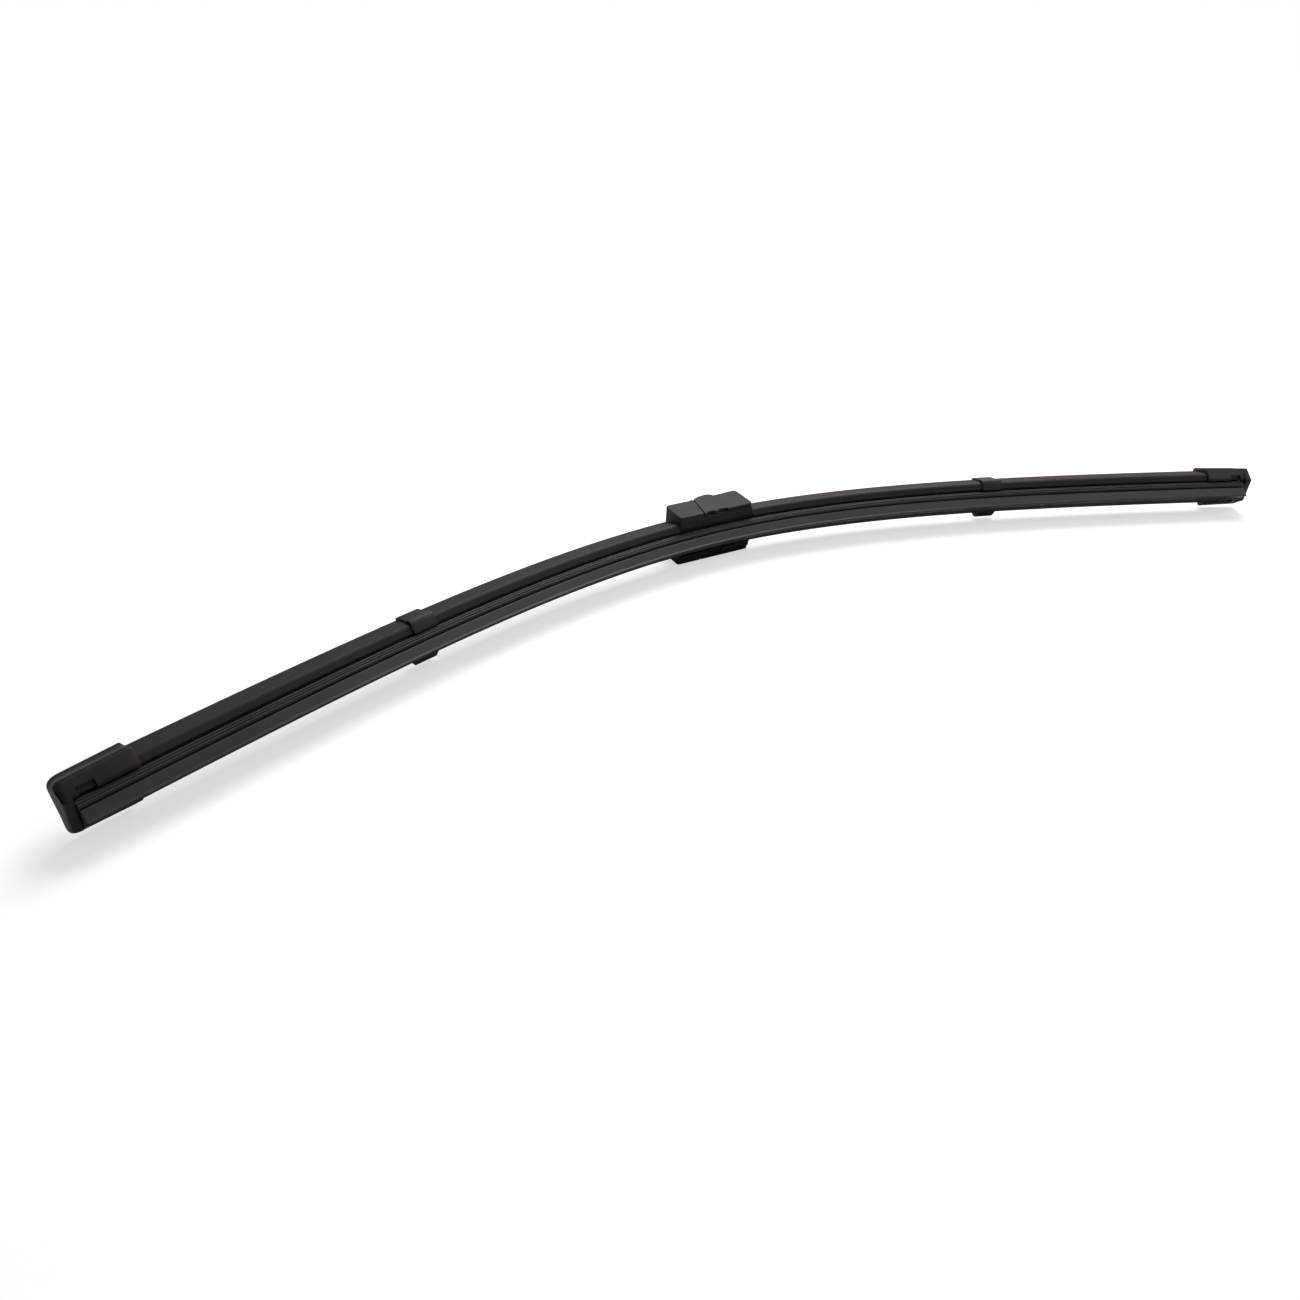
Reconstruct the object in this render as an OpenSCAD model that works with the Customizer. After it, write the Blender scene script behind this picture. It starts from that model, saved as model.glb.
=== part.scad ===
// Flat wiper blade with two steel rails, a spoiler in two halves and a side-pin connector.
// It lies on its side: X runs along the blade, Y from the wiping lip to the spoiler and Z across it.
// The origin is on the axis of the bore for the wiper arm's pin.

/* [Blade] */
// Length along the bow, from one end cap's end to the other's
blade_len = 543; // [450:1:650]
// How far the connector sits from the middle, towards the left end
connector_shift = 6.5; // [0:0.5:20]
// Radius of the bow at the connector
centre_radius = 283; // [240:1:500]
// Radius of the bow at the tips
tip_radius = 4300; // [1500:100:9000]
// How fast the bow flattens from the connector to the tips
bow_fade = 2.09; // [1.5:0.01:3]

/* [Rails] */
// Thickness of each steel rail
rail_t = 1; // [0.8:0.05:1.2]
// Width of each steel rail
rail_w = 4.2; // [3.5:0.1:4.6]
// Gap between the two rails, which the rubber's neck fills
rail_gap = 3.2; // [2.8:0.1:3.6]
// Length of the notches in the rails' outer edges
notch_len = 4; // [3:0.5:6]
// Depth of those notches
notch_deep = 0.9; // [0.6:0.1:1.2]

/* [Rubber] */
// Half width of the head that lies on top of the rails
head_half = 2.6; // [2.2:0.1:2.8]
// Height of the head
head_h = 1.1; // [0.9:0.1:1.3]
// Half width of the stem below the rails
stem_half = 3.2; // [2.8:0.1:3.4]
// Depth of the stem
stem_h = 1.3; // [1.2:0.1:1.6]
// Half width of the shoulder
shoulder_half = 4.9; // [4.4:0.1:5]
// Depth of the shoulder
shoulder_h = 2.8; // [2.6:0.1:3.2]
// Half thickness of the thin web on which the lip tilts
web_half = 0.5; // [0.4:0.05:0.7]
// Depth of the web
web_h = 1; // [0.8:0.1:1.2]
// Half width of the lip's thick end
wedge_half = 2.7; // [2.3:0.1:3]
// Depth of the lip, from its thick end to its wiping edge
lip_h = 3; // [2.6:0.1:3.6]
// Half thickness of the wiping edge
edge_half = 0.35; // [0.3:0.05:0.5]

/* [Spoiler] */
// Half width across the claws that hold the rails
claw_half = 7.7; // [7.6:0.05:8]
// Thickness of the claws below the rails
claw_lip = 0.8; // [0.6:0.05:0.9]
// Height of the spoiler's ridge above the middle of the rails
ridge_h = 9.1; // [8:0.1:10]
// How far the ridge stands from the middle, towards the steep flank
ridge_side = 5.5; // [4.5:0.1:6]
// Height at which the claws are widest
claw_rise = 1.1; // [0.9:0.1:1.4]

/* [Clips] */
// Distance of each clip's middle from the connector's
clip_s = 141; // [110:1:170]
// Length of a clip along the blade
clip_len = 9.2; // [7:0.1:12]
// Thickness of a clip
clip_wall = 0.75; // [0.6:0.05:1]
// How much longer its thick hook on the steep side is
hook_more = 0.8; // [0:0.1:2]
// How far that hook stands out past the band
hook_out = 0.4; // [0.2:0.1:0.8]

/* [End caps] */
// Length of an end cap
cap_len = 22.5; // [20:0.5:32]
// Half width of an end cap at its widest
cap_half = 9.8; // [9.4:0.1:10.4]
// Wall of an end cap over the spoiler
cap_wall = 1.3; // [1.1:0.05:1.6]
// Wall of an end cap under the claws
cap_floor = 0.9; // [0.8:0.05:1.2]
// Thickness of its end
cap_end = 2.6; // [2:0.1:4]
// Radius of the end's corner at the ridge
cap_round = 4.5; // [3:0.25:6]
// Radius of the end's two corners at the sides
cap_corner = 3; // [2:0.25:4]
// Length of the notches at the foot of the cap's walls
cap_slot = 6.5; // [5:0.5:12]

/* [Connector] */
// Length of the connector
con_len = 36.4; // [34:0.1:42]
// Width of the connector, across its outer faces
con_w = 22.3; // [21.5:0.1:24]
// Height of the base's closed end above the middle of the rails
con_top = 11.9; // [11.2:0.1:12.5]
// Depth of the connector's skirt below the middle of the rails
con_skirt = 1.1; // [0.9:0.1:1.3]
// Wall of the locking cover
cover_wall = 1.25; // [1:0.05:1.5]
// Where the cover's near edge lies along the blade, at its top
cover_start = -4; // [-5:0.1:-3.5]
// How far that edge leans back towards its foot
cover_lean = 2.4; // [0:0.1:3]
// Height of the cover's top above the middle of the rails
cover_top = 12.8; // [12.4:0.1:13.5]
// Radius of the arm's pin bore
bore_r = 2.45; // [2:0.01:2.6]
// Height of the bore's axis above the middle of the rails
bore_rise = 6; // [5.8:0.1:6.4]

/* [Cover hinge] */
// How far the cover opens, in degrees
cover_swing = 95; // [60:5:95]
// Distance of the hinge from the bore, along the blade
hinge_s = 3.2; // [3:0.1:4.5]
// Height of the hinge above the middle of the rails
hinge_rise = 10.8; // [10.6:0.1:11.2]
// Radius of the hump round the hinge
hump_r = 3.6; // [3.3:0.1:3.8]
// Radius of the cover's two studs
stud_r = 1.2; // [1:0.05:1.3]
// Running clearance round the studs
stud_play = 0.06; // [0.04:0.01:0.1]

/* [Fits] */
// Clearance between pieces that slide together along the blade
slide_gap = 0.1; // [0.05:0.01:0.15]
// Clearance between the cover and the base
cover_gap = 0.3; // [0.2:0.05:0.35]
// Gap between the ends of the long pieces and what stops them
end_gap = 0.3; // [0.2:0.05:0.6]

/* [Hidden] */
$fn = 48;
// Length of the blade on each side of the connector's middle
left_arm = blade_len / 2 - connector_shift;
right_arm = blade_len / 2 + connector_shift;
// Where the long pieces stop, inside the caps
left_stop = left_arm - cap_end - end_gap;
right_stop = right_arm - cap_end - end_gap;
// Heights in the section, measured from the middle of the rails towards the spoiler
slot_half = rail_t / 2 + slide_gap;
rail_in = rail_gap / 2;
rail_out = rail_in + rail_w;
claw_in = rail_out + slide_gap;
lip_low = -slot_half - claw_lip;
shoulder_top = -slot_half - stem_h;
shoulder_low = shoulder_top - shoulder_h;
wedge_top = shoulder_low - web_h;
edge_low = wedge_top - lip_h;
// Half widths and ends of the connector
con_half = con_w / 2;
cover_in = con_half - cover_wall;
base_half = cover_in - cover_gap;
con_end = con_len / 2;
spoiler_start = con_end + end_gap;
// Thickness of the base's two ears that carry the cover's studs
ear = 1.4;
// Number of straight steps that each side's bow is drawn with, and how much they close up at the
// connector, where the bow is tightest
step_count = 16;
step_crowd = 1.3;
// How far a cut runs past its piece
past = 1;

// The bow: the curvature falls from the connector to the tips by a power law, so the blade has
// turned by this many degrees at a distance s along it.
fade = (1 / centre_radius - 1 / tip_radius) * right_arm / (bow_fade + 1);
function turn(s) = (s / tip_radius + fade * (1 - pow(1 - s / right_arm, bow_fade + 1))) * 180 / PI;
function forward(a) = [cos(a), -sin(a)];
function outward(a) = [sin(a), cos(a)];
function station(i) = right_arm * pow(i / step_count, step_crowd);
function step_at(s) = min(step_count - 1, floor(step_count * pow(s / right_arm, 1 / step_crowd)));
function step_turn(i) = (turn(station(i)) + turn(station(i + 1))) / 2;
starts = [
    for (i = 0, p = [0, -bore_rise]; i < step_count;
         p = p + (station(i + 1) - station(i)) * forward(step_turn(i)), i = i + 1) p
];
function right_point(s) =
    let (i = step_at(s)) starts[i] + (s - station(i)) * forward(step_turn(i));
// The same on both sides, with the left one counted as negative
function angle_at(s) = sign(s) * turn(abs(s));
function point_at(s) = let (p = right_point(abs(s))) [sign(s) * p.x, p.y];

// The stations between two places on the bow, with those places themselves
function stops(from, to) = concat(
    [from],
    [
        for (i = [-step_count:step_count])
            let (s = sign(i) * station(abs(i))) if (s > from + 1 && s < to - 1) s
    ],
    [to]
);

// A section as points (height, side) that run anticlockwise, swept along the bow
module sweep(section, from, to) {
    places = stops(from, to);
    n = len(section);
    last = len(places) - 1;
    corners = [
        for (s = places)
            let (foot = point_at(s), rise = outward(angle_at(s)))
            for (p = section)
                [foot.x + p.x * rise.x, foot.y + p.x * rise.y, p.y]
    ];
    sides = [
        for (j = [0:last - 1], k = [0:n - 1], half = [0, 1])
            let (a = j * n + k, b = j * n + (k + 1) % n)
            half == 0 ? [a, a + n, b] : [b, a + n, b + n]
    ];
    polyhedron(corners, concat([[for (k = [0:n - 1]) k]], sides, [[for (k = [n - 1:-1:0]) last * n + k]]));
}

// A frame that stands on the rails at a place on the bow: X along the blade, Y towards the spoiler
module stand_at(s)
    translate(point_at(s)) rotate(-angle_at(s)) children();

// A section as (height, side), drawn out straight along X between two places
module straight(from, to)
    translate([from, 0, 0]) rotate([90, 0, 90]) linear_extrude(to - from) children();

// An outline as (along, height) at the connector, drawn out across the blade
module across(z0, z1)
    translate([0, -bore_rise, z0]) linear_extrude(z1 - z0) children();

// Points of an outline that turns left, moved outwards by g
function unit(v) = v / norm(v);
function side_of(v) = [v.y, -v.x];
function grown(pts, g) = [
    for (i = [0:len(pts) - 1])
        let (p = pts[i], q = pts[(i + len(pts) - 1) % len(pts)], r = pts[(i + 1) % len(pts)],
             a = side_of(unit(p - q)), b = side_of(unit(r - p)))
        p + g * (a + b) / (1 + a * b)
];

// Outline of the spoiler with its claws: hollow windward side, ridge, steep flank, rounded claws
claw_foot = claw_half - 2.1;
envelope = [
    [lip_low, -claw_foot], [-0.5, 0.75 - claw_half], [0.4, 0.15 - claw_half], [claw_rise, -claw_half],
    [claw_rise + 0.8, 0.2 - claw_half], [claw_rise + 1.6, 1.4 - claw_half], [ridge_h * 0.37, -3.6],
    [ridge_h * 0.52, -0.6], [ridge_h * 0.74, ridge_side * 0.42], [ridge_h - 0.1, ridge_side - 0.5],
    [ridge_h, ridge_side], [ridge_h - 0.35, ridge_side + 0.25], [ridge_h * 0.66, ridge_side + 0.9],
    [claw_rise + 2.1, claw_half - 0.5], [claw_rise + 0.9, claw_half - 0.1], [claw_rise, claw_half],
    [0.4, claw_half - 0.15], [-0.5, claw_half - 0.75], [lip_low, claw_foot]
];

// Half an outline, given from its top down on the far side, closed with its mirror image
function both_sides(pts) = concat(pts, [for (i = [len(pts) - 1:-1:0]) [pts[i].x, -pts[i].y]]);

// Rubber: head, neck in the rail slot, stem, double ridged shoulder, web and tapering lip
head_top = slot_half - slide_gap / 2 + head_h;
grip = rail_t / 2 + slide_gap / 2;
neck = rail_in - slide_gap;
valley = shoulder_top - shoulder_h * 0.4;
rubber_section = both_sides([
    [head_top, head_half - 0.5], [head_top - 0.4, head_half], [grip, head_half], [grip, neck],
    [-grip, neck], [-grip, stem_half], [shoulder_top, stem_half + 0.2],
    [shoulder_top, shoulder_half - 0.35], [shoulder_top - 0.25, shoulder_half - 0.1],
    [valley + 0.4, shoulder_half - 0.1], [valley + 0.15, shoulder_half - 0.7],
    [valley - 0.15, shoulder_half - 0.7], [valley - 0.4, shoulder_half],
    [shoulder_low + 0.4, shoulder_half], [shoulder_low, shoulder_half - 0.5],
    [shoulder_low + 0.45, shoulder_half - 1.6], [shoulder_low + 0.2, web_half + 0.5],
    [shoulder_low - 0.1, web_half], [wedge_top + 0.2, web_half], [wedge_top, web_half + 0.4],
    [wedge_top, wedge_half - 0.2], [wedge_top - 0.2, wedge_half],
    [wedge_top - 0.6, wedge_half - 0.1], [edge_low + 1, edge_half + 0.15], [edge_low, edge_half]
]);

module wiping_rubber()
    color([0.13, 0.12, 0.12]) sweep(rubber_section, -left_stop, right_stop);

// Rail on one side, notched for the connector's lugs and for the caps
module rail(side) {
    edge = side * (rail_out - notch_deep);
    depth = notch_deep + past;
    low = side > 0 ? edge : edge - depth;
    near = side > 0 ? rail_in : -rail_out;
    far = near + rail_w;
    color([0.3, 0.3, 0.31]) difference() {
        sweep([[-rail_t / 2, near], [rail_t / 2, near], [rail_t / 2, far], [-rail_t / 2, far]],
              -left_stop, right_stop);
        for (s = [-1, 1])
            translate([s * con_end / 2 - notch_len / 2, -bore_rise - rail_t, low])
                cube([notch_len, 2 * rail_t, depth]);
        stand_at(right_stop - cap_len / 2)
            translate([-notch_len / 2, -rail_t, low]) cube([notch_len, 2 * rail_t, depth]);
        mirror([1, 0, 0]) stand_at(left_stop - cap_len / 2)
            translate([-notch_len / 2, -rail_t, low]) cube([notch_len, 2 * rail_t, depth]);
    }
}

module upper_rail() rail(1);
module lower_rail() rail(-1);

// Spoiler: the envelope, then back in under the claws, round the rails' slot and the room for the
// rubber's head
head_room = head_half + 0.5;
head_roof = slot_half + head_h + 0.4;
mouth_half = claw_foot - 0.7;
spoiler_section = concat(envelope, [
    [lip_low + 0.1, mouth_half], [-slot_half, mouth_half], [-slot_half, claw_in], [slot_half, claw_in],
    [slot_half, head_room], [head_roof, head_room], [head_roof, -head_room], [slot_half, -head_room],
    [slot_half, -claw_in], [-slot_half, -claw_in], [-slot_half, -mouth_half], [lip_low + 0.1, -mouth_half]
]);

module spoiler(stop)
    color([0.16, 0.14, 0.145]) sweep(spoiler_section, spoiler_start, stop);

module left_spoiler() mirror([1, 0, 0]) spoiler(left_stop);
module right_spoiler() spoiler(right_stop);

// What a clip or a cap leaves open below, for the rubber's shoulder
module rubber_mouth(half)
    translate([-ridge_h * 2, -half]) square([ridge_h * 2, 2 * half]);

// Clip: one band of even thickness over the whole section, hooked under both claws, with a thicker
// and longer hook on the steep side
module clip() {
    hook = clip_len / 2 + hook_more / 2;
    hook_side = claw_half + slide_gap + clip_wall + hook_out;
    color([0.15, 0.14, 0.14]) stand_at(clip_s) difference() {
        union() {
            straight(-clip_len / 2, clip_len / 2) polygon(grown(envelope, slide_gap + clip_wall));
            straight(-hook, hook) polygon([
                [lip_low - slide_gap - clip_wall, mouth_half], [lip_low - slide_gap - clip_wall, claw_foot],
                [-0.4, hook_side - 0.7], [0.3, hook_side], [claw_rise + 1.1, hook_side],
                [claw_rise + 1.9, hook_side - 0.7], [claw_rise + 1.9, mouth_half]
            ]);
        }
        straight(-hook - past, hook + past) {
            polygon(grown(envelope, slide_gap));
            rubber_mouth(shoulder_half + slide_gap);
        }
    }
}

module left_clip() mirror([1, 0, 0]) clip();
module right_clip() clip();

// Outline of a cap round the spoiler: widest beside the claws, then drawn in to a narrow foot
cap_low = lip_low - slide_gap - cap_floor;
cap_foot = claw_foot + 0.7;
cap_peak = ridge_h + slide_gap + cap_wall;
cap_outline = [
    [cap_low, -cap_foot], [1.4, 0.3 - cap_half], [2.2, -cap_half], [3, 0.1 - cap_half],
    [3.6, 1 - cap_half], [ridge_h * 0.37 + 1.2, -4.1], [ridge_h * 0.52 + 1.15, -1.3],
    [ridge_h * 0.74 + 1.1, ridge_side * 0.42 - 0.8], [cap_peak - 0.3, ridge_side - 1.1],
    [cap_peak, ridge_side - 0.2], [cap_peak, ridge_side + 0.6], [cap_peak - 0.6, ridge_side + 1.3],
    [ridge_h * 0.8, ridge_side + 1.9], [ridge_h * 0.5, cap_half - 1.2], [3.2, cap_half - 0.3],
    [2.2, cap_half], [1.4, cap_half - 0.3], [cap_low, cap_foot]
];

// Side view of a cap as (along, height): round corner at the ridge, smaller one at the foot
module cap_side_view() {
    foot_r = 1.5;
    translate([-cap_len - past, cap_low - past])
        square([cap_len + past - cap_round, cap_peak - cap_low + 2 * past]);
    translate([-cap_round - past, cap_low + foot_r])
        square([cap_round + past, cap_peak - cap_round - cap_low - foot_r]);
    translate([-cap_round, cap_peak - cap_round]) circle(cap_round);
    translate([-cap_round - past, cap_low - past]) square([cap_round + past - foot_r, foot_r + 2 * past]);
    translate([-foot_r, cap_low + foot_r]) circle(foot_r);
}

// Plan view of a cap as (along, side), with both corners of its end rounded
module cap_plan_view() {
    flat = cap_half - cap_corner;
    translate([-cap_len - past, -cap_half - past])
        square([cap_len + past - cap_corner, 2 * cap_half + 2 * past]);
    translate([-cap_corner - past, -flat]) square([cap_corner + past, 2 * flat]);
    for (side = [-1, 1]) translate([-cap_corner, side * flat]) circle(cap_corner);
}

// End cap, in a frame whose X starts at the blade's end
module cap_body() {
    reach = ridge_h * 2;
    notch_start = shoulder_half - past;
    notch_stop = cap_foot + 0.9;
    notch_rise = cap_floor + slide_gap + 0.5;
    difference() {
        intersection() {
            straight(-cap_len, 0) polygon(cap_outline);
            translate([0, 0, -cap_half - past]) linear_extrude(2 * cap_half + 2 * past) cap_side_view();
            translate([0, reach, 0]) rotate([90, 0, 0]) linear_extrude(2 * reach) cap_plan_view();
        }
        straight(-cap_len - past, -cap_end) {
            polygon(grown(envelope, slide_gap));
            rubber_mouth(shoulder_half + end_gap);
        }
        for (low = [notch_start, -notch_stop])
            translate([-cap_end - cap_slot, cap_low - past, low])
                cube([cap_slot, past + notch_rise, notch_stop - notch_start]);
    }
}

module end_cap(arm)
    color([0.14, 0.14, 0.15]) stand_at(arm - cap_len / 2) translate([cap_len / 2, 0, 0]) cap_body();

module left_cap() mirror([1, 0, 0]) end_cap(left_arm);
module right_cap() end_cap(right_arm);

// Base: closed end as wide as the cover, and a narrower body under the cover
module base_side_view() {
    edge = cover_start - cover_gap;
    polygon([
        [-con_end, 0.6 - con_skirt], [0.6 - con_end, -con_skirt], [edge - cover_lean, -con_skirt],
        [edge, hinge_rise], [edge, con_top + 0.1], [edge - 0.4, con_top + 0.4], [edge - 2.2, con_top],
        [1.6 - con_end, con_top], [0.4 - con_end, con_top - 0.4], [-con_end, con_top - 1.6]
    ]);
}

module base_core_view() {
    body_top = hinge_rise - 0.6;
    translate([cover_start - cover_lean - past, -con_skirt])
        square([con_end - cover_start + cover_lean + past, con_skirt + body_top - 3]);
    translate([cover_start - past, 0]) square([hinge_s + 2 - cover_start + past, body_top]);
    translate([hinge_s, hinge_rise]) circle(hump_r - 0.8);
}

// Room through the base for the rails, the rubber's head and its stem, bent like the bow there
module rail_channel() {
    half_angle = 2 + turn(con_end);
    translate([0, -bore_rise - centre_radius]) rotate(90 - half_angle)
        rotate_extrude(angle = 2 * half_angle, $fn = 720) translate([centre_radius, 0]) {
            translate([-slot_half, -claw_in]) square([2 * slot_half, 2 * claw_in]);
            translate([0, -head_half - slide_gap])
                square([slot_half + head_h + slide_gap, 2 * (head_half + slide_gap)]);
            translate([-con_top, -stem_half - 0.4]) square([con_top, 2 * stem_half + 0.8]);
        }
}

module connector_base() {
    lug = notch_len - 2 * slide_gap;
    pocket_start = hinge_s + hump_r;
    catch_deep = 1;
    groove_deep = 0.4;
    groove_start = 1.5 - con_end;
    color([0.17, 0.155, 0.16]) difference() {
        union() {
            across(-con_half, con_half) base_side_view();
            difference() {
                across(-base_half, base_half) base_core_view();
                translate([hinge_s - hump_r, -bore_rise + hinge_rise - 0.6, ear - base_half])
                    cube([2 * hump_r, 2 * hump_r, 2 * (base_half - ear)]);
            }
            across(-claw_half, claw_half) translate([-con_end, lip_low])
                square([con_len, con_skirt - lip_low]);
        }
        difference() {
            rail_channel();
            for (s = [-1, 1], side = [-1, 1])
                translate([s * con_end / 2 - lug / 2, -bore_rise - rail_t / 2 - past,
                           side > 0 ? rail_out - notch_deep + slide_gap : -rail_out - past])
                    cube([lug, rail_t + 2 * past, notch_deep + past - slide_gap]);
        }
        translate([0, 0, -base_half - past]) cylinder(r = bore_r, h = 2 * (base_half + past));
        translate([hinge_s, hinge_rise - bore_rise, -base_half - past])
            cylinder(r = stud_r + stud_play, h = 2 * (base_half + past));
        translate([pocket_start, slot_half + head_h + 1.4 - bore_rise, -base_half + 1.6])
            cube([con_end - pocket_start - 2, con_top, 2 * base_half - 3.2]);
        // Catch pocket in the foot on the far side, and the groove that frames it
        translate([-2.7, lip_low - bore_rise - past, -base_half + 0.9])
            cube([6.4, past + catch_deep, 1.6]);
        translate([groove_start, lip_low - bore_rise - past, -claw_half + 0.7])
            cube([2 * con_end - 3, past + groove_deep, 0.4]);
    }
}

// Outline of the locking cover as (along, height): leaning edge, slope up to the hump over the
// hinge, shallow dip and level top
module cover_side_view() {
    polygon([
        [cover_start - cover_lean, -con_skirt], [con_end - 1, -con_skirt], [con_end, 1 - con_skirt],
        [con_end, cover_top - 0.8], [con_end - 0.8, cover_top], [con_end - 5, cover_top - 0.1],
        [hinge_s + hump_r + 2.6, cover_top - 0.4], [hinge_s + hump_r * 0.8, cover_top - 0.4],
        [hinge_s, hinge_rise + 1], [hinge_s - 0.4, hinge_rise + hump_r - 0.1],
        [hinge_s - hump_r * 0.9, hinge_rise + hump_r - 0.4], [cover_start + 1.8, cover_top + 0.5],
        [cover_start + 0.3, con_top + 0.4], [cover_start, con_top - 0.2], [cover_start, hinge_rise]
    ]);
    translate([hinge_s, hinge_rise]) circle(hump_r);
}

// What the cover leaves free between its side walls
module cover_room_view() {
    roof = hinge_rise + 0.6;
    translate([hinge_s, -con_skirt - past]) square([con_end - cover_wall - hinge_s, roof + con_skirt + past]);
    translate([hinge_s, hinge_rise]) circle(hump_r - 0.65);
    translate([cover_start - cover_lean - past, -con_skirt - past])
        square([hinge_s - cover_start + cover_lean + past, cover_top + con_skirt + 4 * past]);
    translate([con_end - cover_wall - past, -con_skirt - past])
        square([cover_wall + 2 * past, con_skirt + past + hinge_rise - 3]);
}

// Slot that lets the cover swing past the arm's pin, round the hinge, open at the cover's edge
module pin_sweep() {
    reach = norm([hinge_s, hinge_rise - bore_rise]);
    room = bore_r + 0.45;
    deep = cover_wall + cover_gap + past;
    angle = atan2(bore_rise - hinge_rise, -hinge_s) + 360;
    opened = angle - cover_swing;
    translate([hinge_s, hinge_rise - bore_rise, -con_half - past]) {
        rotate(opened) rotate_extrude(angle = cover_swing)
            translate([reach - room, 0]) square([2 * room + past, deep]);
        for (a = [opened, angle]) rotate(a) translate([reach, 0, 0]) cylinder(r = room + slide_gap, h = deep);
    }
}

module locking_cover() {
    color([0.18, 0.165, 0.17]) difference() {
        union() {
            difference() {
                across(-con_half, con_half) cover_side_view();
                across(-cover_in, cover_in) cover_room_view();
            }
            for (side = [-1, 1])
                translate([hinge_s, hinge_rise - bore_rise, side > 0 ? base_half - ear : -con_half + 0.4])
                    cylinder(r = stud_r, h = con_half - 0.4 - base_half + ear);
        }
        pin_sweep();
        // Snap windows at the foot of the near side wall
        for (w = [[-4.6, 3.4], [0.9, 4.4]])
            translate([w[0], -bore_rise - con_skirt - past, cover_in - past])
                cube([w[1], past + 0.9, con_half]);
    }
}

wiping_rubber();
upper_rail();
lower_rail();
left_spoiler();
right_spoiler();
left_clip();
right_clip();
left_cap();
right_cap();
connector_base();
locking_cover();
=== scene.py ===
import math

import bmesh
import bpy
import numpy as np
from mathutils import Matrix, Vector


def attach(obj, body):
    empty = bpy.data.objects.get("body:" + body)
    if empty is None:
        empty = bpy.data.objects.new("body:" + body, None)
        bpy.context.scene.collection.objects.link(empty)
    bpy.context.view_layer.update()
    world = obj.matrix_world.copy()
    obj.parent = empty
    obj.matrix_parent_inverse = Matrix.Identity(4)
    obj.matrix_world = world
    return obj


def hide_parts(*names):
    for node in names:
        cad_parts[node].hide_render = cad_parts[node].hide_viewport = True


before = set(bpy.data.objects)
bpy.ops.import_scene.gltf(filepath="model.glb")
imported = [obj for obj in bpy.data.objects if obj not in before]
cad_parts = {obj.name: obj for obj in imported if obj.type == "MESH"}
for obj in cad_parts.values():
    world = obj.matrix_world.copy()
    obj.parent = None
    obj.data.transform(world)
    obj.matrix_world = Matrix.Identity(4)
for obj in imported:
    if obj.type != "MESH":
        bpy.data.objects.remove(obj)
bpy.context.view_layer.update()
print("frame loaded:", sorted(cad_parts))

# The bow and where the pieces stop, in millimetres, as the CAD model has them
bow = {
    "leftArm": 265.0, "rightArm": 278.0, "boreRise": 6.0,
    "centreRadius": 283.0, "tipRadius": 4300.0, "fade": 2.09,
    "connectorEnd": 18.2, "longGap": 0.3, "capEnd": 2.6,
}
leftStop = bow["leftArm"] - bow["capEnd"] - bow["longGap"]
rightStop = bow["rightArm"] - bow["capEnd"] - bow["longGap"]
spoilerStart = bow["connectorEnd"] + bow["longGap"]


def turnAt(s):
    # Angle turned at distance s: the curvature falls to the tip by a power law, integrated over s
    arm = bow["rightArm"]
    drop = (1 / bow["centreRadius"] - 1 / bow["tipRadius"]) * arm / (bow["fade"] + 1)
    left = np.clip(1 - np.abs(s) / arm, 0, 1)
    return np.sign(s) * (np.abs(s) / bow["tipRadius"] + drop * (1 - left ** (bow["fade"] + 1)))


bowStep = 0.25
bowTable = np.arange(0, bow["rightArm"] + bowStep, bowStep)
bowMiddle = turnAt(bowTable[:-1] + bowStep / 2)
bowX = np.concatenate([[0], np.cumsum(np.cos(bowMiddle)) * bowStep])
bowY = np.concatenate([[0], -np.cumsum(np.sin(bowMiddle)) * bowStep])


def placeOnBow(s, height, side):
    # Point at distance s, raised by height along the bow's outward normal, and side across it
    turn = turnAt(s)
    x = np.sign(s) * np.interp(np.abs(s), bowTable, bowX) + height * np.sin(turn)
    y = np.interp(np.abs(s), bowTable, bowY) + height * np.cos(turn) - bow["boreRise"]
    return np.stack([x, y, side + 0 * x], -1) / 1000


rounding = {"steps": 5, "edgeShare": 0.48, "leastHalf": 0.05, "mostHalf": 1.57}


def roundedOutline(corners, radii):
    # Each corner becomes a quadratic curve. It starts and ends at the tangent length, which is the
    # radius over the tangent of half the corner's angle, or less where an edge is short.
    p = np.array(corners, float)
    before = np.roll(p, 1, 0) - p
    after = np.roll(p, -1, 0) - p
    lengthBefore = np.linalg.norm(before, axis=1, keepdims=True)
    lengthAfter = np.linalg.norm(after, axis=1, keepdims=True)
    u, v = before / lengthBefore, after / lengthAfter
    half = np.arccos(np.clip((u * v).sum(1, keepdims=True), -1, 1)) / 2
    half = np.clip(half, rounding["leastHalf"], rounding["mostHalf"])
    reach = np.array(radii, float).reshape(-1, 1) / np.tan(half)
    reach = np.minimum(reach, rounding["edgeShare"] * np.minimum(lengthBefore, lengthAfter))
    t = np.linspace(0, 1, rounding["steps"]).reshape(1, -1, 1)
    a, b, c = (p + u * reach)[:, None], p[:, None], (p + v * reach)[:, None]
    curve = (1 - t) ** 2 * a + 2 * t * (1 - t) * b + t ** 2 * c
    return curve.reshape(-1, 2)


def grownOutline(corners, gap):
    # Every corner moves out along the mean of its two edges' normals, so both edges move by gap
    p = np.array(corners, float)
    before = p - np.roll(p, 1, 0)
    after = np.roll(p, -1, 0) - p
    a = np.stack([before[:, 1], -before[:, 0]], 1) / np.linalg.norm(before, axis=1, keepdims=True)
    b = np.stack([after[:, 1], -after[:, 0]], 1) / np.linalg.norm(after, axis=1, keepdims=True)
    return p + gap * (a + b) / (1 + (a * b).sum(1, keepdims=True))


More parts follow.
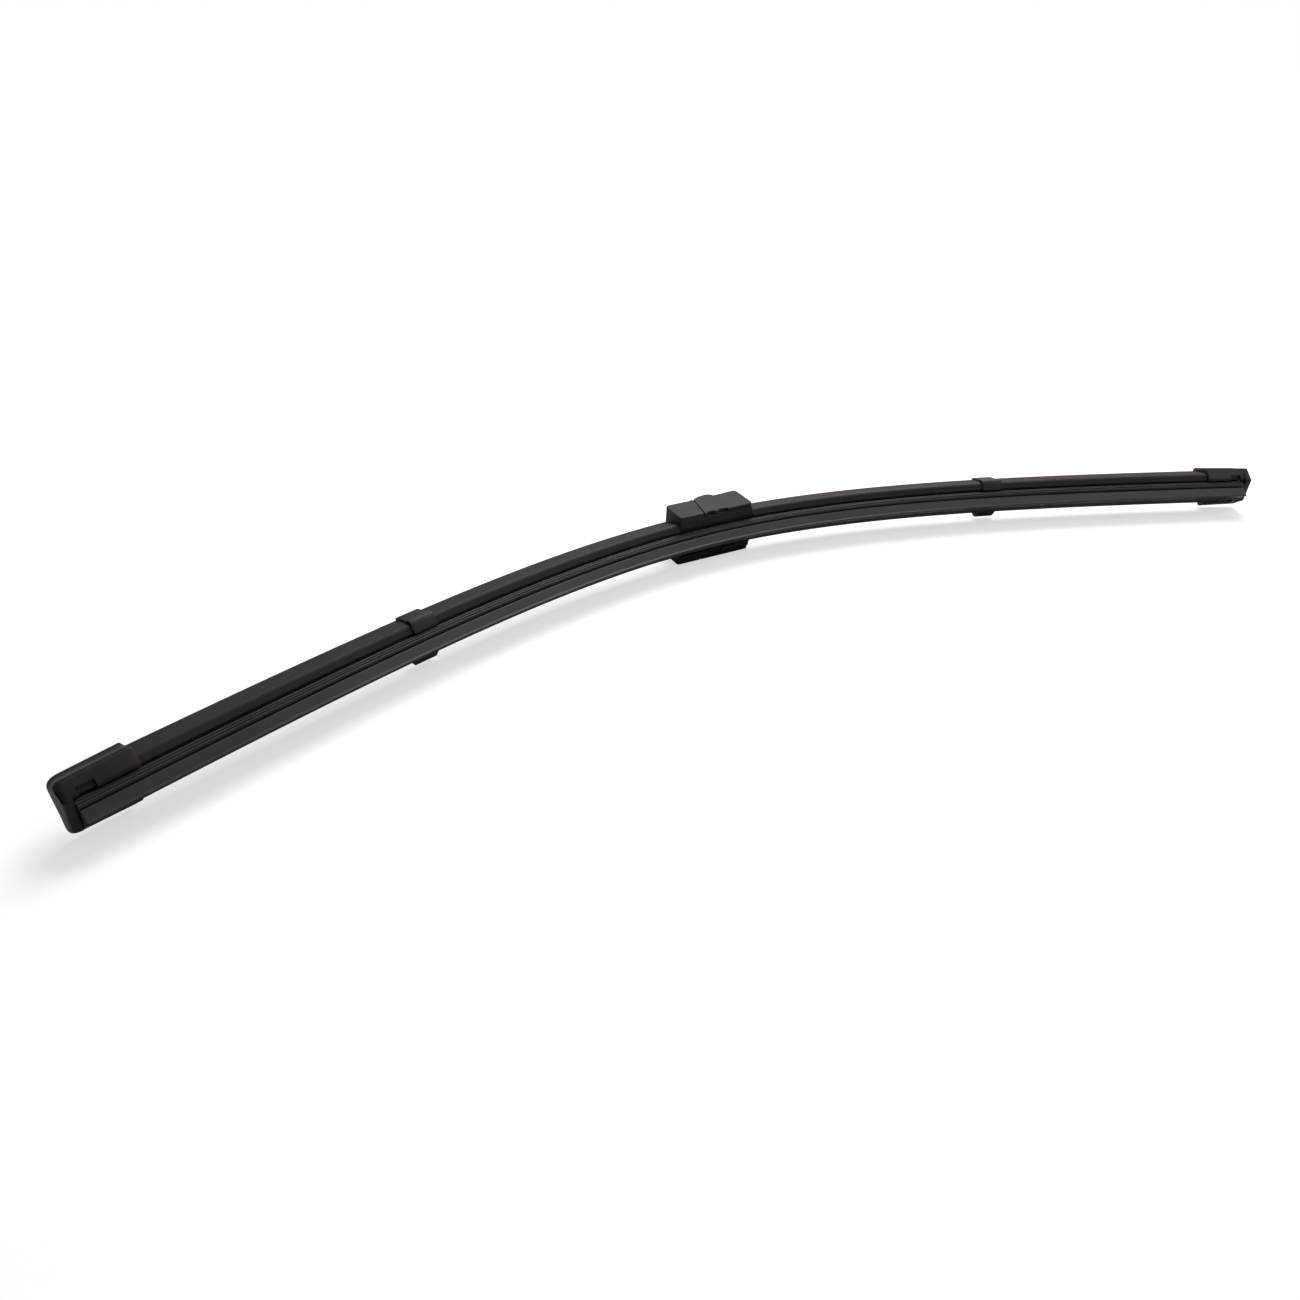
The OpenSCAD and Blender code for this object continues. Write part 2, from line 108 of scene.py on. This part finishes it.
def quarterRound(radius, distance):
    # How far a quarter circle of this radius draws an edge in at this distance from its end
    return radius - math.sqrt(radius ** 2 - max(0, radius - distance) ** 2)


meshing = {"spacing": 2.5, "rimParts": (0.7, 0.3, 0.0), "mergeWithin": 2e-7, "sharpFrom": 36}


def meshFromGrid(name, grid, along, around):
    # Rows of the grid are joined to the next row by quads, and each end is closed by one face
    rows, count = grid.shape[:2]
    index = np.arange(rows * count).reshape(rows, count)
    right = np.roll(index, -1, 1)
    quads = np.stack([index[:-1], index[1:], right[1:], right[:-1]], -1).reshape(-1, 4)
    faces = quads.tolist() + [index[0].tolist(), index[-1][::-1].tolist()]
    mesh = bpy.data.meshes.new(name)
    mesh.from_pydata(grid.reshape(-1, 3), [], faces)
    place = mesh.attributes.new("bladePlace", "FLOAT_VECTOR", "POINT")
    places = np.stack([along, around, 0 * along], -1).astype(np.float32)
    place.data.foreach_set("vector", places.ravel())
    shape = bmesh.new()
    shape.from_mesh(mesh)
    bmesh.ops.remove_doubles(shape, verts=shape.verts, dist=meshing["mergeWithin"])
    shape.to_mesh(mesh)
    shape.free()
    mesh.shade_smooth()
    mesh.set_sharp_from_angle(angle=math.radians(meshing["sharpFrom"]))
    piece = bpy.data.objects.new(name, mesh)
    bpy.context.collection.objects.link(piece)
    return piece


def sweepRows(name, places, outlines):
    # One outline (height, side) a row, at one place along the bow or at one for each of its points
    outlines = np.array(outlines)
    s = np.array(places, float).reshape(len(outlines), -1)
    grid = placeOnBow(s + 0 * outlines[:, :, 0], outlines[:, :, 0], outlines[:, :, 1])
    lengths = np.linalg.norm(np.roll(outlines[0], -1, 0) - outlines[0], axis=1)
    around = np.concatenate([[0], np.cumsum(lengths)[:-1]]) / 1000
    alongAll = (s / 1000 + 0 * around[None]).ravel()
    aroundAll = (around[None] + 0 * s).ravel()
    return meshFromGrid(name, grid, alongAll, aroundAll)


def sweepOutline(name, corners, start, stop, rim=0.0):
    # The outline is carried along the bow from start to stop, drawn in by rim at both of its ends
    corners = np.array(corners, float)
    count = max(2, int((stop - start) / meshing["spacing"]))
    middle = np.linspace(start + rim, stop - rim, count)
    plain = roundedOutline(corners[:, :2], corners[:, 2])
    places, outlines = list(middle), [plain] * len(middle)
    if rim:
        for part in meshing["rimParts"]:
            drawn = quarterRound(rim, rim * part)
            small = roundedOutline(grownOutline(corners[:, :2], -drawn), corners[:, 2])
            places = [start + rim * part] + places + [stop - rim * part]
            outlines = [small] + outlines + [small]
    return sweepRows(name, places, outlines)


def dress(piece, body, slot, material, *nodes):
    # The new piece takes a finish, rides a body and stands for its CAD nodes
    piece.data.materials.clear()
    piece.data.materials.append(material)
    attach(piece, body)
    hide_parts(*nodes)


def newNode(tree, kind, **values):
    # Values named after an input go to that input, the others to the node's own settings
    node = tree.nodes.new(kind)
    for key, value in values.items():
        if key in node.inputs:
            node.inputs[key].default_value = value
        else:
            setattr(node, key, value)
    return node


def mixedWith(tree, first, second, share):
    # Weighted mean of two outputs, the second with this share
    mix = newNode(tree, "ShaderNodeMix", data_type="FLOAT")
    mix.inputs[0].default_value = share
    tree.links.new(first, mix.inputs[2])
    tree.links.new(second, mix.inputs[3])
    return mix.outputs[0]


surface = {
    "cloudDetail": 3.0, "grainDetail": 2.0, "streakDetail": 3.0, "streakShare": 0.5,
    "toneFrom": 0.35, "toneTo": 0.65, "glossSpread": 0.04,
}


def blackSurface(name, look):
    # Dark surface: cloudy colour and gloss, fine grain, and lines along the blade where asked
    material = bpy.data.materials.new(name)
    material.use_nodes = True
    tree = material.node_tree
    shader = tree.nodes["Principled BSDF"]
    link = tree.links.new
    shader.inputs["Metallic"].default_value = look.get("metal", 0)
    shader.inputs["Specular IOR Level"].default_value = look["specular"]
    coords = newNode(tree, "ShaderNodeTexCoord")
    cloud = newNode(tree, "ShaderNodeTexNoise", Scale=look["cloudScale"],
                    Detail=surface["cloudDetail"])
    link(coords.outputs["Object"], cloud.inputs["Vector"])
    tone = cloud.outputs["Fac"]
    grain = newNode(tree, "ShaderNodeTexNoise", Scale=look["grainScale"],
                    Detail=surface["grainDetail"])
    link(coords.outputs["Object"], grain.inputs["Vector"])
    height = grain.outputs["Fac"]
    if look.get("lines"):
        place = newNode(tree, "ShaderNodeAttribute", attribute_name="bladePlace")
        stretch = newNode(tree, "ShaderNodeMapping")
        stretch.inputs["Scale"].default_value = (look["lineStretch"], look["lineScale"], 1)
        link(place.outputs["Vector"], stretch.inputs["Vector"])
        streak = newNode(tree, "ShaderNodeTexNoise", Scale=1.0, Detail=surface["streakDetail"])
        link(stretch.outputs["Vector"], streak.inputs["Vector"])
        height = mixedWith(tree, height, streak.outputs["Fac"], look["lines"])
        tone = mixedWith(tree, tone, streak.outputs["Fac"], surface["streakShare"])
    ramp = newNode(tree, "ShaderNodeValToRGB")
    low = [c * (1 - look["cloud"]) for c in look["colour"]]
    high = [c * (1 + look["cloud"]) for c in look["colour"]]
    ramp.color_ramp.elements[0].position = surface["toneFrom"]
    ramp.color_ramp.elements[0].color = (*low, 1)
    ramp.color_ramp.elements[1].position = surface["toneTo"]
    ramp.color_ramp.elements[1].color = (*high, 1)
    link(tone, ramp.inputs["Fac"])
    link(ramp.outputs["Color"], shader.inputs["Base Color"])
    gloss = newNode(tree, "ShaderNodeMapRange")
    gloss.inputs["From Min"].default_value = surface["toneFrom"]
    gloss.inputs["From Max"].default_value = surface["toneTo"]
    gloss.inputs["To Min"].default_value = look["rough"] - surface["glossSpread"]
    gloss.inputs["To Max"].default_value = look["rough"] + surface["glossSpread"]
    link(tone, gloss.inputs["Value"])
    link(gloss.outputs["Result"], shader.inputs["Roughness"])
    bump = newNode(tree, "ShaderNodeBump", Strength=look["bump"], Distance=look["bumpDepth"])
    link(height, bump.inputs["Height"])
    link(bump.outputs["Normal"], shader.inputs["Normal"])
    return material


# Finishes, one dictionary each
looks = {
    "spoilerRubber": {
        "colour": (0.045, 0.0345, 0.0375), "rough": 0.62, "specular": 0.22,
        "cloud": 0.14, "cloudScale": 60, "grainScale": 3500, "bump": 0.25, "bumpDepth": 0.00005,
        "lines": 0.7, "lineStretch": 8, "lineScale": 2500,
    },
    "lipRubber": {
        "colour": (0.054, 0.0425, 0.046), "rough": 0.4, "specular": 0.3,
        "cloud": 0.16, "cloudScale": 60, "grainScale": 4000, "bump": 0.25, "bumpDepth": 0.00005,
        "lines": 0.7, "lineStretch": 8, "lineScale": 2500,
    },
    "connectorPlastic": {
        "colour": (0.035, 0.0255, 0.028), "rough": 0.55, "specular": 0.22,
        "cloud": 0.08, "cloudScale": 120, "grainScale": 2600, "bump": 0.3, "bumpDepth": 0.00006,
    },
    "capPlastic": {
        "colour": (0.026, 0.024, 0.0255), "rough": 0.42, "specular": 0.26,
        "cloud": 0.08, "cloudScale": 120, "grainScale": 2600, "bump": 0.3, "bumpDepth": 0.00006,
    },
    "clipSteel": {
        "colour": (0.04, 0.036, 0.038), "rough": 0.48, "specular": 0.28,
        "cloud": 0.08, "cloudScale": 150, "grainScale": 3000, "bump": 0.15, "bumpDepth": 0.00003,
    },
    "springSteel": {
        "colour": (0.4, 0.4, 0.41), "rough": 0.35, "specular": 0.4, "metal": 1.0,
        "cloud": 0.06, "cloudScale": 150, "grainScale": 3000, "bump": 0.15, "bumpDepth": 0.00003,
    },
}
finish = {name: blackSurface(name, look) for name, look in looks.items()}
print("finishes made:", len(finish))

# Rubber outline as (height, side, rounding), from the head's top down to the wiping edge
rubber = {
    "half": [
        (1.65, 2.1, 0.2), (1.25, 2.6, 0.2), (0.55, 2.6, 0.05), (0.55, 1.5, 0.05),
        (-0.55, 1.5, 0.05), (-0.55, 3.2, 0.1), (-1.75, 3.4, 0.1), (-1.75, 4.3, 0.1),
        (-2.0, 4.45, 0.15), (-2.6, 4.45, 0.2), (-2.8, 4.0, 0.12), (-3.25, 4.0, 0.12),
        (-3.45, 4.6, 0.2), (-3.95, 4.6, 0.2), (-4.1, 4.0, 0.1), (-4.25, 3.95, 0.1),
        (-4.4, 4.2, 0.12), (-4.7, 4.0, 0.15), (-4.85, 3.5, 0.2), (-4.6, 2.6, 0.3),
        (-4.65, 1.0, 0.3), (-4.75, 0.5, 0.12), (-5.0, 0.5, 0.12), (-5.1, 1.0, 0.12),
        (-5.05, 2.55, 0.1), (-5.2, 2.75, 0.15), (-5.5, 2.65, 0.3), (-8.1, 0.55, 2.0),
        (-8.7, 0.32, 0.08),
    ],
    "rightEnd": 274.0,
}
otherHalf = [(height, -side, radius) for height, side, radius in reversed(rubber["half"])]
outline = rubber["half"] + otherHalf
wiper = sweepOutline("wiperRubber", outline, -leftStop, rubber["rightEnd"])
dress(wiper, "blade", "rubber", finish["lipRubber"], "wiping_rubber")
print("rubber made")

# Spoiler outline as (height, side, rounding): round the outside, then back round the rails' slot
spoiler = {
    "skin": [
        (-1.4, -5.35, 0.3), (-0.7, -6.35, 2.0), (-0.2, -7.2, 1.5), (0.4, -7.6, 1.0),
        (1.1, -7.7, 0.8), (1.9, -7.5, 0.5), (2.7, -6.3, 2.0), (3.37, -3.6, 30),
        (4.73, -0.6, 30), (6.73, 2.31, 30), (9.0, 5.0, 0.5), (9.1, 5.5, 0.25),
        (8.75, 5.75, 1.0), (6.0, 6.4, 40), (3.2, 7.2, 30), (2.0, 7.6, 6.0),
        (1.1, 7.7, 2.0), (0.4, 7.6, 1.0), (-0.2, 7.2, 1.5), (-0.7, 6.35, 2.0),
        (-1.4, 5.35, 0.3),
    ],
    "slot": [
        (-1.3, 4.9, 0.1), (-0.6, 4.9, 0.05), (-0.6, 5.9, 0.05), (0.6, 5.9, 0.05),
        (0.6, 3.1, 0.05), (2.1, 3.1, 0.1), (2.1, -3.1, 0.1), (0.6, -3.1, 0.05),
        (0.6, -5.9, 0.05), (-0.6, -5.9, 0.05), (-0.6, -4.9, 0.05), (-1.3, -4.9, 0.1),
    ],
}
for name, node, start, stop in (("spoilerLeft", "left_spoiler", -leftStop, -spoilerStart),
                                ("spoilerRight", "right_spoiler", spoilerStart, rightStop)):
    piece = sweepOutline(name, spoiler["skin"] + spoiler["slot"], start, stop)
    dress(piece, "blade", "spoiler_rubber", finish["spoilerRubber"], node)
print("spoilers made")

# End caps: a shell round the spoiler that narrows a little to its rounded, closed end.
# "ends" gives the side of the bow, the end's distance from the middle and the extra length.
cap = {
    "skin": [
        (-2.4, -6.3, 0.8), (1.6, -9.8, 1.5), (2.4, -10.2, 1.2), (3.1, -9.9, 1.0),
        (3.8, -8.6, 3.0), (4.6, -4.1, 30), (5.9, -1.3, 30), (7.85, 1.5, 30),
        (10.1, 4.4, 1.5), (10.6, 5.4, 0.6), (10.55, 6.1, 0.6), (9.9, 6.8, 2.0),
        (7.2, 7.4, 20), (4.7, 8.6, 20), (3.3, 9.5, 4.0), (2.3, 9.85, 1.5),
        (1.4, 9.5, 1.8), (-2.4, 6.3, 0.8),
    ],
    "top": 10.6, "halfWidth": 9.85, "footHalf": 6.3, "footShare": 0.226,
    "ends": {"capLeft": (-1, 265.0, 0.0), "capRight": (1, 280.2, 2.2)},
    "length": 22.5, "endScale": 0.955, "mouthScale": 1.01, "fit": 0.1,
    "mouthHalf": 5.2, "mouthCut": 3.5, "rim": 0.5,
    "rimRows": (0, 0.02, 0.07, 0.15, 0.3, 0.5, 2.5, 5.5, 8.5),
    "ridgeRound": 4.5, "sideRound": 2.7, "footRound": 1.5,
    "endRows": (2.2, 1.8, 1.4, 1.05, 0.75, 0.5, 0.3, 0.15, 0.05, 0.0),
    "slotSill": -0.75, "slotFrom": 4.8, "slotTo": 10.0, "slotRows": 5, "sillLip": (0.3, 0.1),
    "curtain": 1.4, "curtainFrom": -1.4, "curtainIn": 0.6,
}
skinCorners = np.array(cap["skin"])
roomCorners = np.array(spoiler["skin"])
roomOutline = roundedOutline(grownOutline(roomCorners[:, :2], cap["fit"]), roomCorners[:, 2])
floorIn = roomOutline[:, 0].min()


def liftedTo(outline, sill):
    # Points below the sill go up to it, at the side where the outline crosses it on its way up
    # from the foot, which is in its first third
    foot = outline[:len(outline) // 3]
    side = abs(np.interp(sill, foot[:, 0], foot[:, 1]))
    low = outline[:, 0:1] < sill
    atSill = np.stack([0 * outline[:, 0] + sill, np.sign(outline[:, 1]) * side], 1)
    return np.where(low, atSill, outline)


def capSkin(fromEnd, span):
    # The outline is scaled along the cap, and a quarter circle draws it in at the mouth's rim.
    # Near the end quarter circles draw in the ridge by the square of how high a point lies, the
    # sides by the cube of how wide it lies, and the foot in proportion to how low it lies.
    taper = cap["endScale"] + (cap["mouthScale"] - cap["endScale"]) * fromEnd / span
    drawn = quarterRound(cap["rim"], span - fromEnd)
    skin = roundedOutline(grownOutline(skinCorners[:, :2], -drawn), skinCorners[:, 2])
    ridgeIn = quarterRound(cap["ridgeRound"], fromEnd)
    sideIn = quarterRound(cap["sideRound"], fromEnd)
    footIn = quarterRound(cap["footRound"], fromEnd)
    high, wide = skin[:, 0] / cap["top"], skin[:, 1] / cap["halfWidth"]
    lowered = np.where(high > 0, ridgeIn * high ** 2, footIn * high / cap["footShare"])
    height = cap["top"] * taper * high - lowered
    return np.stack([height, cap["halfWidth"] * taper * wide - sideIn * wide ** 3], 1)


def capSection(fromEnd, stage, span):
    # The skin, then back round the room inside it. In the foot's slot both stop at a sill.
    # Past the end wall the room's points lie on the foot.
    skin, room = capSkin(fromEnd, span), roomOutline[::-1]
    foot, half = skin[:, 0].min(), cap["mouthHalf"]
    lip = np.array([[foot, half], [floorIn, half]])
    if stage == "slotted":
        sill = cap["slotSill"]
        skin, room = liftedTo(skin, sill), liftedTo(roomOutline, sill)[::-1]
        lip = np.array([[sill, room[0, 1] + out] for out in cap["sillLip"]])
    if stage in ("notch", "flat"):
        line = floorIn if stage == "notch" else foot
        room = np.stack([0 * room[:, 0] + line, np.clip(room[:, 1], -half, half)], 1)
        lip[1, 0] = line
    if stage == "flat":
        # The end wall hangs lower than the sides and covers the rubber's end
        start = cap["curtainFrom"]
        lower = cap["curtain"] * np.clip((start - skin[:, 0]) / (start - foot), 0, 1)
        inward = np.where(skin[:, 1] < 0, -cap["curtainIn"] * lower, 0)
        skin = skin - np.stack([lower, inward], 1)
        narrow = skin[0, 1] / -cap["footHalf"]
        room, lip = room * [1, narrow], lip * [1, narrow]
        room[:, 0], lip[:, 0] = skin[:, 0].min(), skin[:, 0].min()
    return np.concatenate([skin, lip, room, lip[::-1] * [1, -1]])


for name, node in (("capLeft", "left_cap"), ("capRight", "right_cap")):
    sign, arm, more = cap["ends"][name]
    length, wall = cap["length"] + more, bow["capEnd"] + more
    slotNear, slotFar = cap["slotFrom"] + more, cap["slotTo"] + more
    capRows = [(length - back, "open") for back in cap["rimRows"]]
    capRows += [(slotFar, "open")]
    capRows += [(u, "slotted") for u in np.linspace(slotFar, slotNear, cap["slotRows"])]
    capRows += [(u, "open") for u in np.linspace(slotNear, wall, cap["slotRows"])]
    capRows += [(wall, "notch"), (wall, "flat")] + [(u, "flat") for u in cap["endRows"]]
    outlines = np.array([capSection(u, stage, length) for u, stage in capRows])
    # The mouth is cut at an angle on the side that the blade lies on
    fromEnd = np.array([u for u, stage in capRows])[:, None]
    cut = cap["mouthCut"] * np.clip((fromEnd - slotFar) / (length - slotFar), 0, 1)
    fromEnd = fromEnd - cut * np.clip(-outlines[:, :, 1] / cap["halfWidth"], 0, 1)
    places = sign * (arm - fromEnd)
    piece = sweepRows(name, places[::sign], outlines[::sign])
    dress(piece, "blade", "cap_plastic", finish["capPlastic"], node)
print("caps made")

# Clips: a band round the section, rounded at its rims, with a thick hook on each side
clip = {
    "middle": 141.0, "length": 9.2, "wall": 0.75, "fit": 0.1, "mouthHalf": 5.0,
    "rim": 0.25, "rimParts": (0.0, 0.3, 0.7, 1.0), "moreRound": 0.6,
    "hookMore": 0.8, "hookRim": 0.35, "footLength": 9.2, "footMore": 0.8, "footMoreFrom": 8,
    "hook": [
        (-2.2, 4.95, 0.2), (-2.2, 5.8, 0.3), (-0.5, 8.2, 0.8), (0.3, 8.9, 0.5),
        (2.2, 8.95, 0.35), (3.1, 8.25, 0.4), (3.25, 7.45, 0.15), (2.0, 7.72, 0.5),
        (1.1, 7.8, 0.5), (0.4, 7.65, 0.5), (-0.55, 7.05, 0.5), (-1.5, 5.65, 0.1),
        (-1.5, 4.95, 0.1),
    ],
}


def clipSection(drawn):
    # The spoiler's skin moved out by the band's wall, and back inside it by the fit alone
    corners, radii, fit = roomCorners[:, :2], roomCorners[:, 2], clip["fit"]
    grown = grownOutline(corners, fit + clip["wall"] - drawn)
    out = roundedOutline(grown, radii + clip["moreRound"])
    room = roundedOutline(grownOutline(corners, fit), radii)[::-1]
    half = clip["mouthHalf"]
    ends = np.array([[out[:, 0].min(), half], [room[:, 0].min(), half]])
    return np.concatenate([out, ends, room, ends[::-1] * [1, -1]])


for name, node, sign in (("clipLeft", "left_clip", -1), ("clipRight", "right_clip", 1)):
    middle, half, rim = clip["middle"], clip["length"] / 2, clip["rim"]
    drawn = [quarterRound(rim, rim * part) for part in clip["rimParts"]]
    places = [middle - half + rim * part for part in clip["rimParts"]] + [middle]
    places += [middle + half - rim * part for part in clip["rimParts"][::-1]]
    outlines = [clipSection(d) for d in drawn + [0.0] + drawn[::-1]]
    band = sweepRows(name, [sign * s for s in places][::sign], outlines)
    half = half + clip["hookMore"] / 2
    hook = sweepOutline(name + "Hook", clip["hook"][::-1], sign * middle - half,
                        sign * middle + half, rim=clip["hookRim"])
    lower = [(height, -side - clip["footMore"] * (side > clip["footMoreFrom"]), radius)
             for height, side, radius in clip["hook"]]
    half = clip["footLength"] / 2
    foot = sweepOutline(name + "Foot", lower, sign * middle - half, sign * middle + half,
                        rim=clip["hookRim"])
    for piece in (band, hook, foot):
        dress(piece, "blade", "clip_steel", finish["clipSteel"], node)
print("clips made")

# Connector: the base with its closed end, and the cover that swings on it. "edge" is the
# bevels' width in metres, "flatWithin" is in degrees and "edgeFrom" in radians.
connector = {
    "edge": 0.0002, "edgeFrom": 0.55, "edgeSteps": 2, "joinWithin": 1e-6, "flatWithin": 0.5,
}


def softened(name, node):
    # Copy of a CAD node: its triangles are joined, its flat faces made whole, its edges bevelled
    shape = bmesh.new()
    shape.from_mesh(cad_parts[node].data)
    bmesh.ops.remove_doubles(shape, verts=shape.verts, dist=connector["joinWithin"])
    bmesh.ops.dissolve_limit(shape, angle_limit=math.radians(connector["flatWithin"]),
                             verts=shape.verts, edges=shape.edges)
    edges = [edge for edge in shape.edges if len(edge.link_faces) == 2
             and edge.calc_face_angle() > connector["edgeFrom"]]
    bmesh.ops.bevel(shape, geom=edges, offset=connector["edge"], offset_type="OFFSET",
                    segments=connector["edgeSteps"], profile=0.5, affect="EDGES",
                    clamp_overlap=False, miter_outer="ARC")
    bmesh.ops.triangulate(shape, faces=shape.faces)
    mesh = bpy.data.meshes.new(name)
    shape.to_mesh(mesh)
    shape.free()
    # Each point takes the mean of its faces' normals by area, so that large faces stay flat
    count = len(mesh.polygons)
    normals, areas = np.zeros(count * 3), np.zeros(count)
    corners = np.zeros(count * 3, int)
    mesh.polygons.foreach_get("normal", normals)
    mesh.polygons.foreach_get("area", areas)
    mesh.polygons.foreach_get("vertices", corners)
    summed = np.zeros((len(mesh.vertices), 3))
    weighted = normals.reshape(-1, 3) * areas[:, None]
    np.add.at(summed, corners.reshape(-1, 3), weighted[:, None])
    summed /= np.maximum(np.linalg.norm(summed, axis=1, keepdims=True), 1e-12)
    mesh.shade_smooth()
    mesh.normals_split_custom_set_from_vertices(summed.tolist())
    piece = bpy.data.objects.new(name, mesh)
    bpy.context.collection.objects.link(piece)
    return piece


base = softened("connectorBase", "connector_base")
dress(base, "blade", "connector_plastic", finish["connectorPlastic"], "connector_base")
lid = softened("connectorCover", "locking_cover")
dress(lid, "cover", "connector_plastic", finish["connectorPlastic"], "locking_cover")
print("connector made")

# Rails: the CAD nodes as they are, in spring steel
for node in ("upper_rail", "lower_rail"):
    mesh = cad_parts[node].data
    mesh.materials.clear()
    mesh.materials.append(finish["springSteel"])
print("rails finished")

# Floor under the blade, pale, and seen as white where it lies away from the blade. The glow
# that the camera sees on it rises from the near ring to the far ring.
stageLook = {
    "level": -0.01118, "size": 8.0, "colour": 0.7,
    "glow": 0.62, "farGlow": 1.0, "nearRing": 0.3, "farRing": 1.0,
}
floorMesh = bpy.data.meshes.new("floor")
half = stageLook["size"] / 2
signs = ((-1, -1), (1, -1), (1, 1), (-1, 1))
floorCorners = [(x * half, y * half, stageLook["level"]) for x, y in signs]
floorMesh.from_pydata(floorCorners, [], [(0, 1, 2, 3)])
floor = bpy.data.objects.new("floor", floorMesh)
bpy.context.collection.objects.link(floor)
paper = bpy.data.materials.new("paper")
paper.use_nodes = True
tree = paper.node_tree
tree.nodes.remove(tree.nodes["Principled BSDF"])
diffuse = newNode(tree, "ShaderNodeBsdfDiffuse", Color=(stageLook["colour"],) * 3 + (1,))
glow = newNode(tree, "ShaderNodeEmission", Strength=1.0)
coords = newNode(tree, "ShaderNodeTexCoord")
away = newNode(tree, "ShaderNodeVectorMath", operation="LENGTH")
rise = newNode(tree, "ShaderNodeMapRange", interpolation_type="SMOOTHSTEP")
rise.inputs["From Min"].default_value = stageLook["nearRing"]
rise.inputs["From Max"].default_value = stageLook["farRing"]
rise.inputs["To Min"].default_value = stageLook["glow"]
rise.inputs["To Max"].default_value = stageLook["farGlow"]
path = newNode(tree, "ShaderNodeLightPath")
dim = newNode(tree, "ShaderNodeMath", operation="MULTIPLY")
add = newNode(tree, "ShaderNodeAddShader")
tree.links.new(coords.outputs["Object"], away.inputs[0])
tree.links.new(away.outputs["Value"], rise.inputs["Value"])
tree.links.new(path.outputs["Is Camera Ray"], dim.inputs[0])
tree.links.new(rise.outputs["Result"], dim.inputs[1])
tree.links.new(dim.outputs[0], glow.inputs["Strength"])
tree.links.new(diffuse.outputs[0], add.inputs[0])
tree.links.new(glow.outputs[0], add.inputs[1])
tree.links.new(add.outputs[0], tree.nodes["Material Output"].inputs["Surface"])
floorMesh.materials.append(paper)

# World: white behind everything that the camera sees, a weak fill for the rest
fillLevel = 0.1
world = bpy.data.worlds.new("studio")
bpy.context.scene.world = world
world.use_nodes = True
tree = world.node_tree
background = tree.nodes["Background"]
background.inputs["Color"].default_value = (1, 1, 1, 1)
path = newNode(tree, "ShaderNodeLightPath")
strength = newNode(tree, "ShaderNodeMapRange")
strength.inputs["To Min"].default_value = fillLevel
strength.inputs["To Max"].default_value = 1.0
tree.links.new(path.outputs["Is Camera Ray"], strength.inputs["Value"])
tree.links.new(strength.outputs["Result"], background.inputs["Strength"])

# Lamps: a large soft one over the blade and a weak one from the front
lamps = {
    "overhead": {
        "place": (0.38, 0.38, 0.7), "aim": (0.08, -0.02, 0.0), "size": 0.65, "power": 8.2,
    },
    "front": {
        "place": (0.7, -0.48, 0.87), "aim": (0.1, -0.02, 0.0), "size": 0.6, "power": 1.7,
    },
}
for name, lamp in lamps.items():
    data = bpy.data.lights.new(name, "AREA")
    data.shape = "SQUARE"
    data.size = lamp["size"]
    data.energy = lamp["power"]
    light = bpy.data.objects.new(name, data)
    bpy.context.collection.objects.link(light)
    light.location = lamp["place"]
    aim = Vector(lamp["aim"]) - Vector(lamp["place"])
    light.rotation_euler = aim.to_track_quat("-Z", "Y").to_euler()
print("stage and lamps made")

# Camera from the fit to the photograph: angles in degrees, "distance" and "sensor" in
# millimetres, "nearest" in metres, and the focus, image and aim in pixels
view = {
    "azimuth": -31.41, "elevation": 34.24, "roll": 3.165, "distance": 431.8,
    "focus": 1000.0, "image": 1300.0, "aimX": 714.0, "aimY": 532.7,
    "sensor": 36, "nearest": 0.01,
}
azimuth, elevation, roll = (math.radians(view[k]) for k in ("azimuth", "elevation", "roll"))
level = math.cos(elevation)
back = Vector((math.sin(azimuth) * level, -math.cos(azimuth) * level, math.sin(elevation)))
flatRight = Vector((math.cos(azimuth), math.sin(azimuth), 0))
flatUp = back.cross(flatRight)
right = flatRight * math.cos(roll) + flatUp * math.sin(roll)
up = -flatRight * math.sin(roll) + flatUp * math.cos(roll)
# The camera stands back from the aimed point and is moved so that this point falls on its pixel
middle = view["image"] / 2
pixel = view["distance"] / view["focus"]
spot = (back * view["distance"] - right * (view["aimX"] - middle) * pixel
        + up * (view["aimY"] - middle) * pixel)
spot.y -= bow["boreRise"]
cameraData = bpy.data.cameras.new("camera")
cameraData.sensor_width = view["sensor"]
cameraData.lens = view["focus"] / view["image"] * view["sensor"]
cameraData.clip_start = view["nearest"]
camera = bpy.data.objects.new("camera", cameraData)
bpy.context.collection.objects.link(camera)
turned = Matrix((right, up, back)).transposed().to_4x4()
camera.matrix_world = Matrix.Translation(spot / 1000) @ turned
bpy.context.scene.camera = camera
bpy.context.scene.view_settings.view_transform = "Standard"
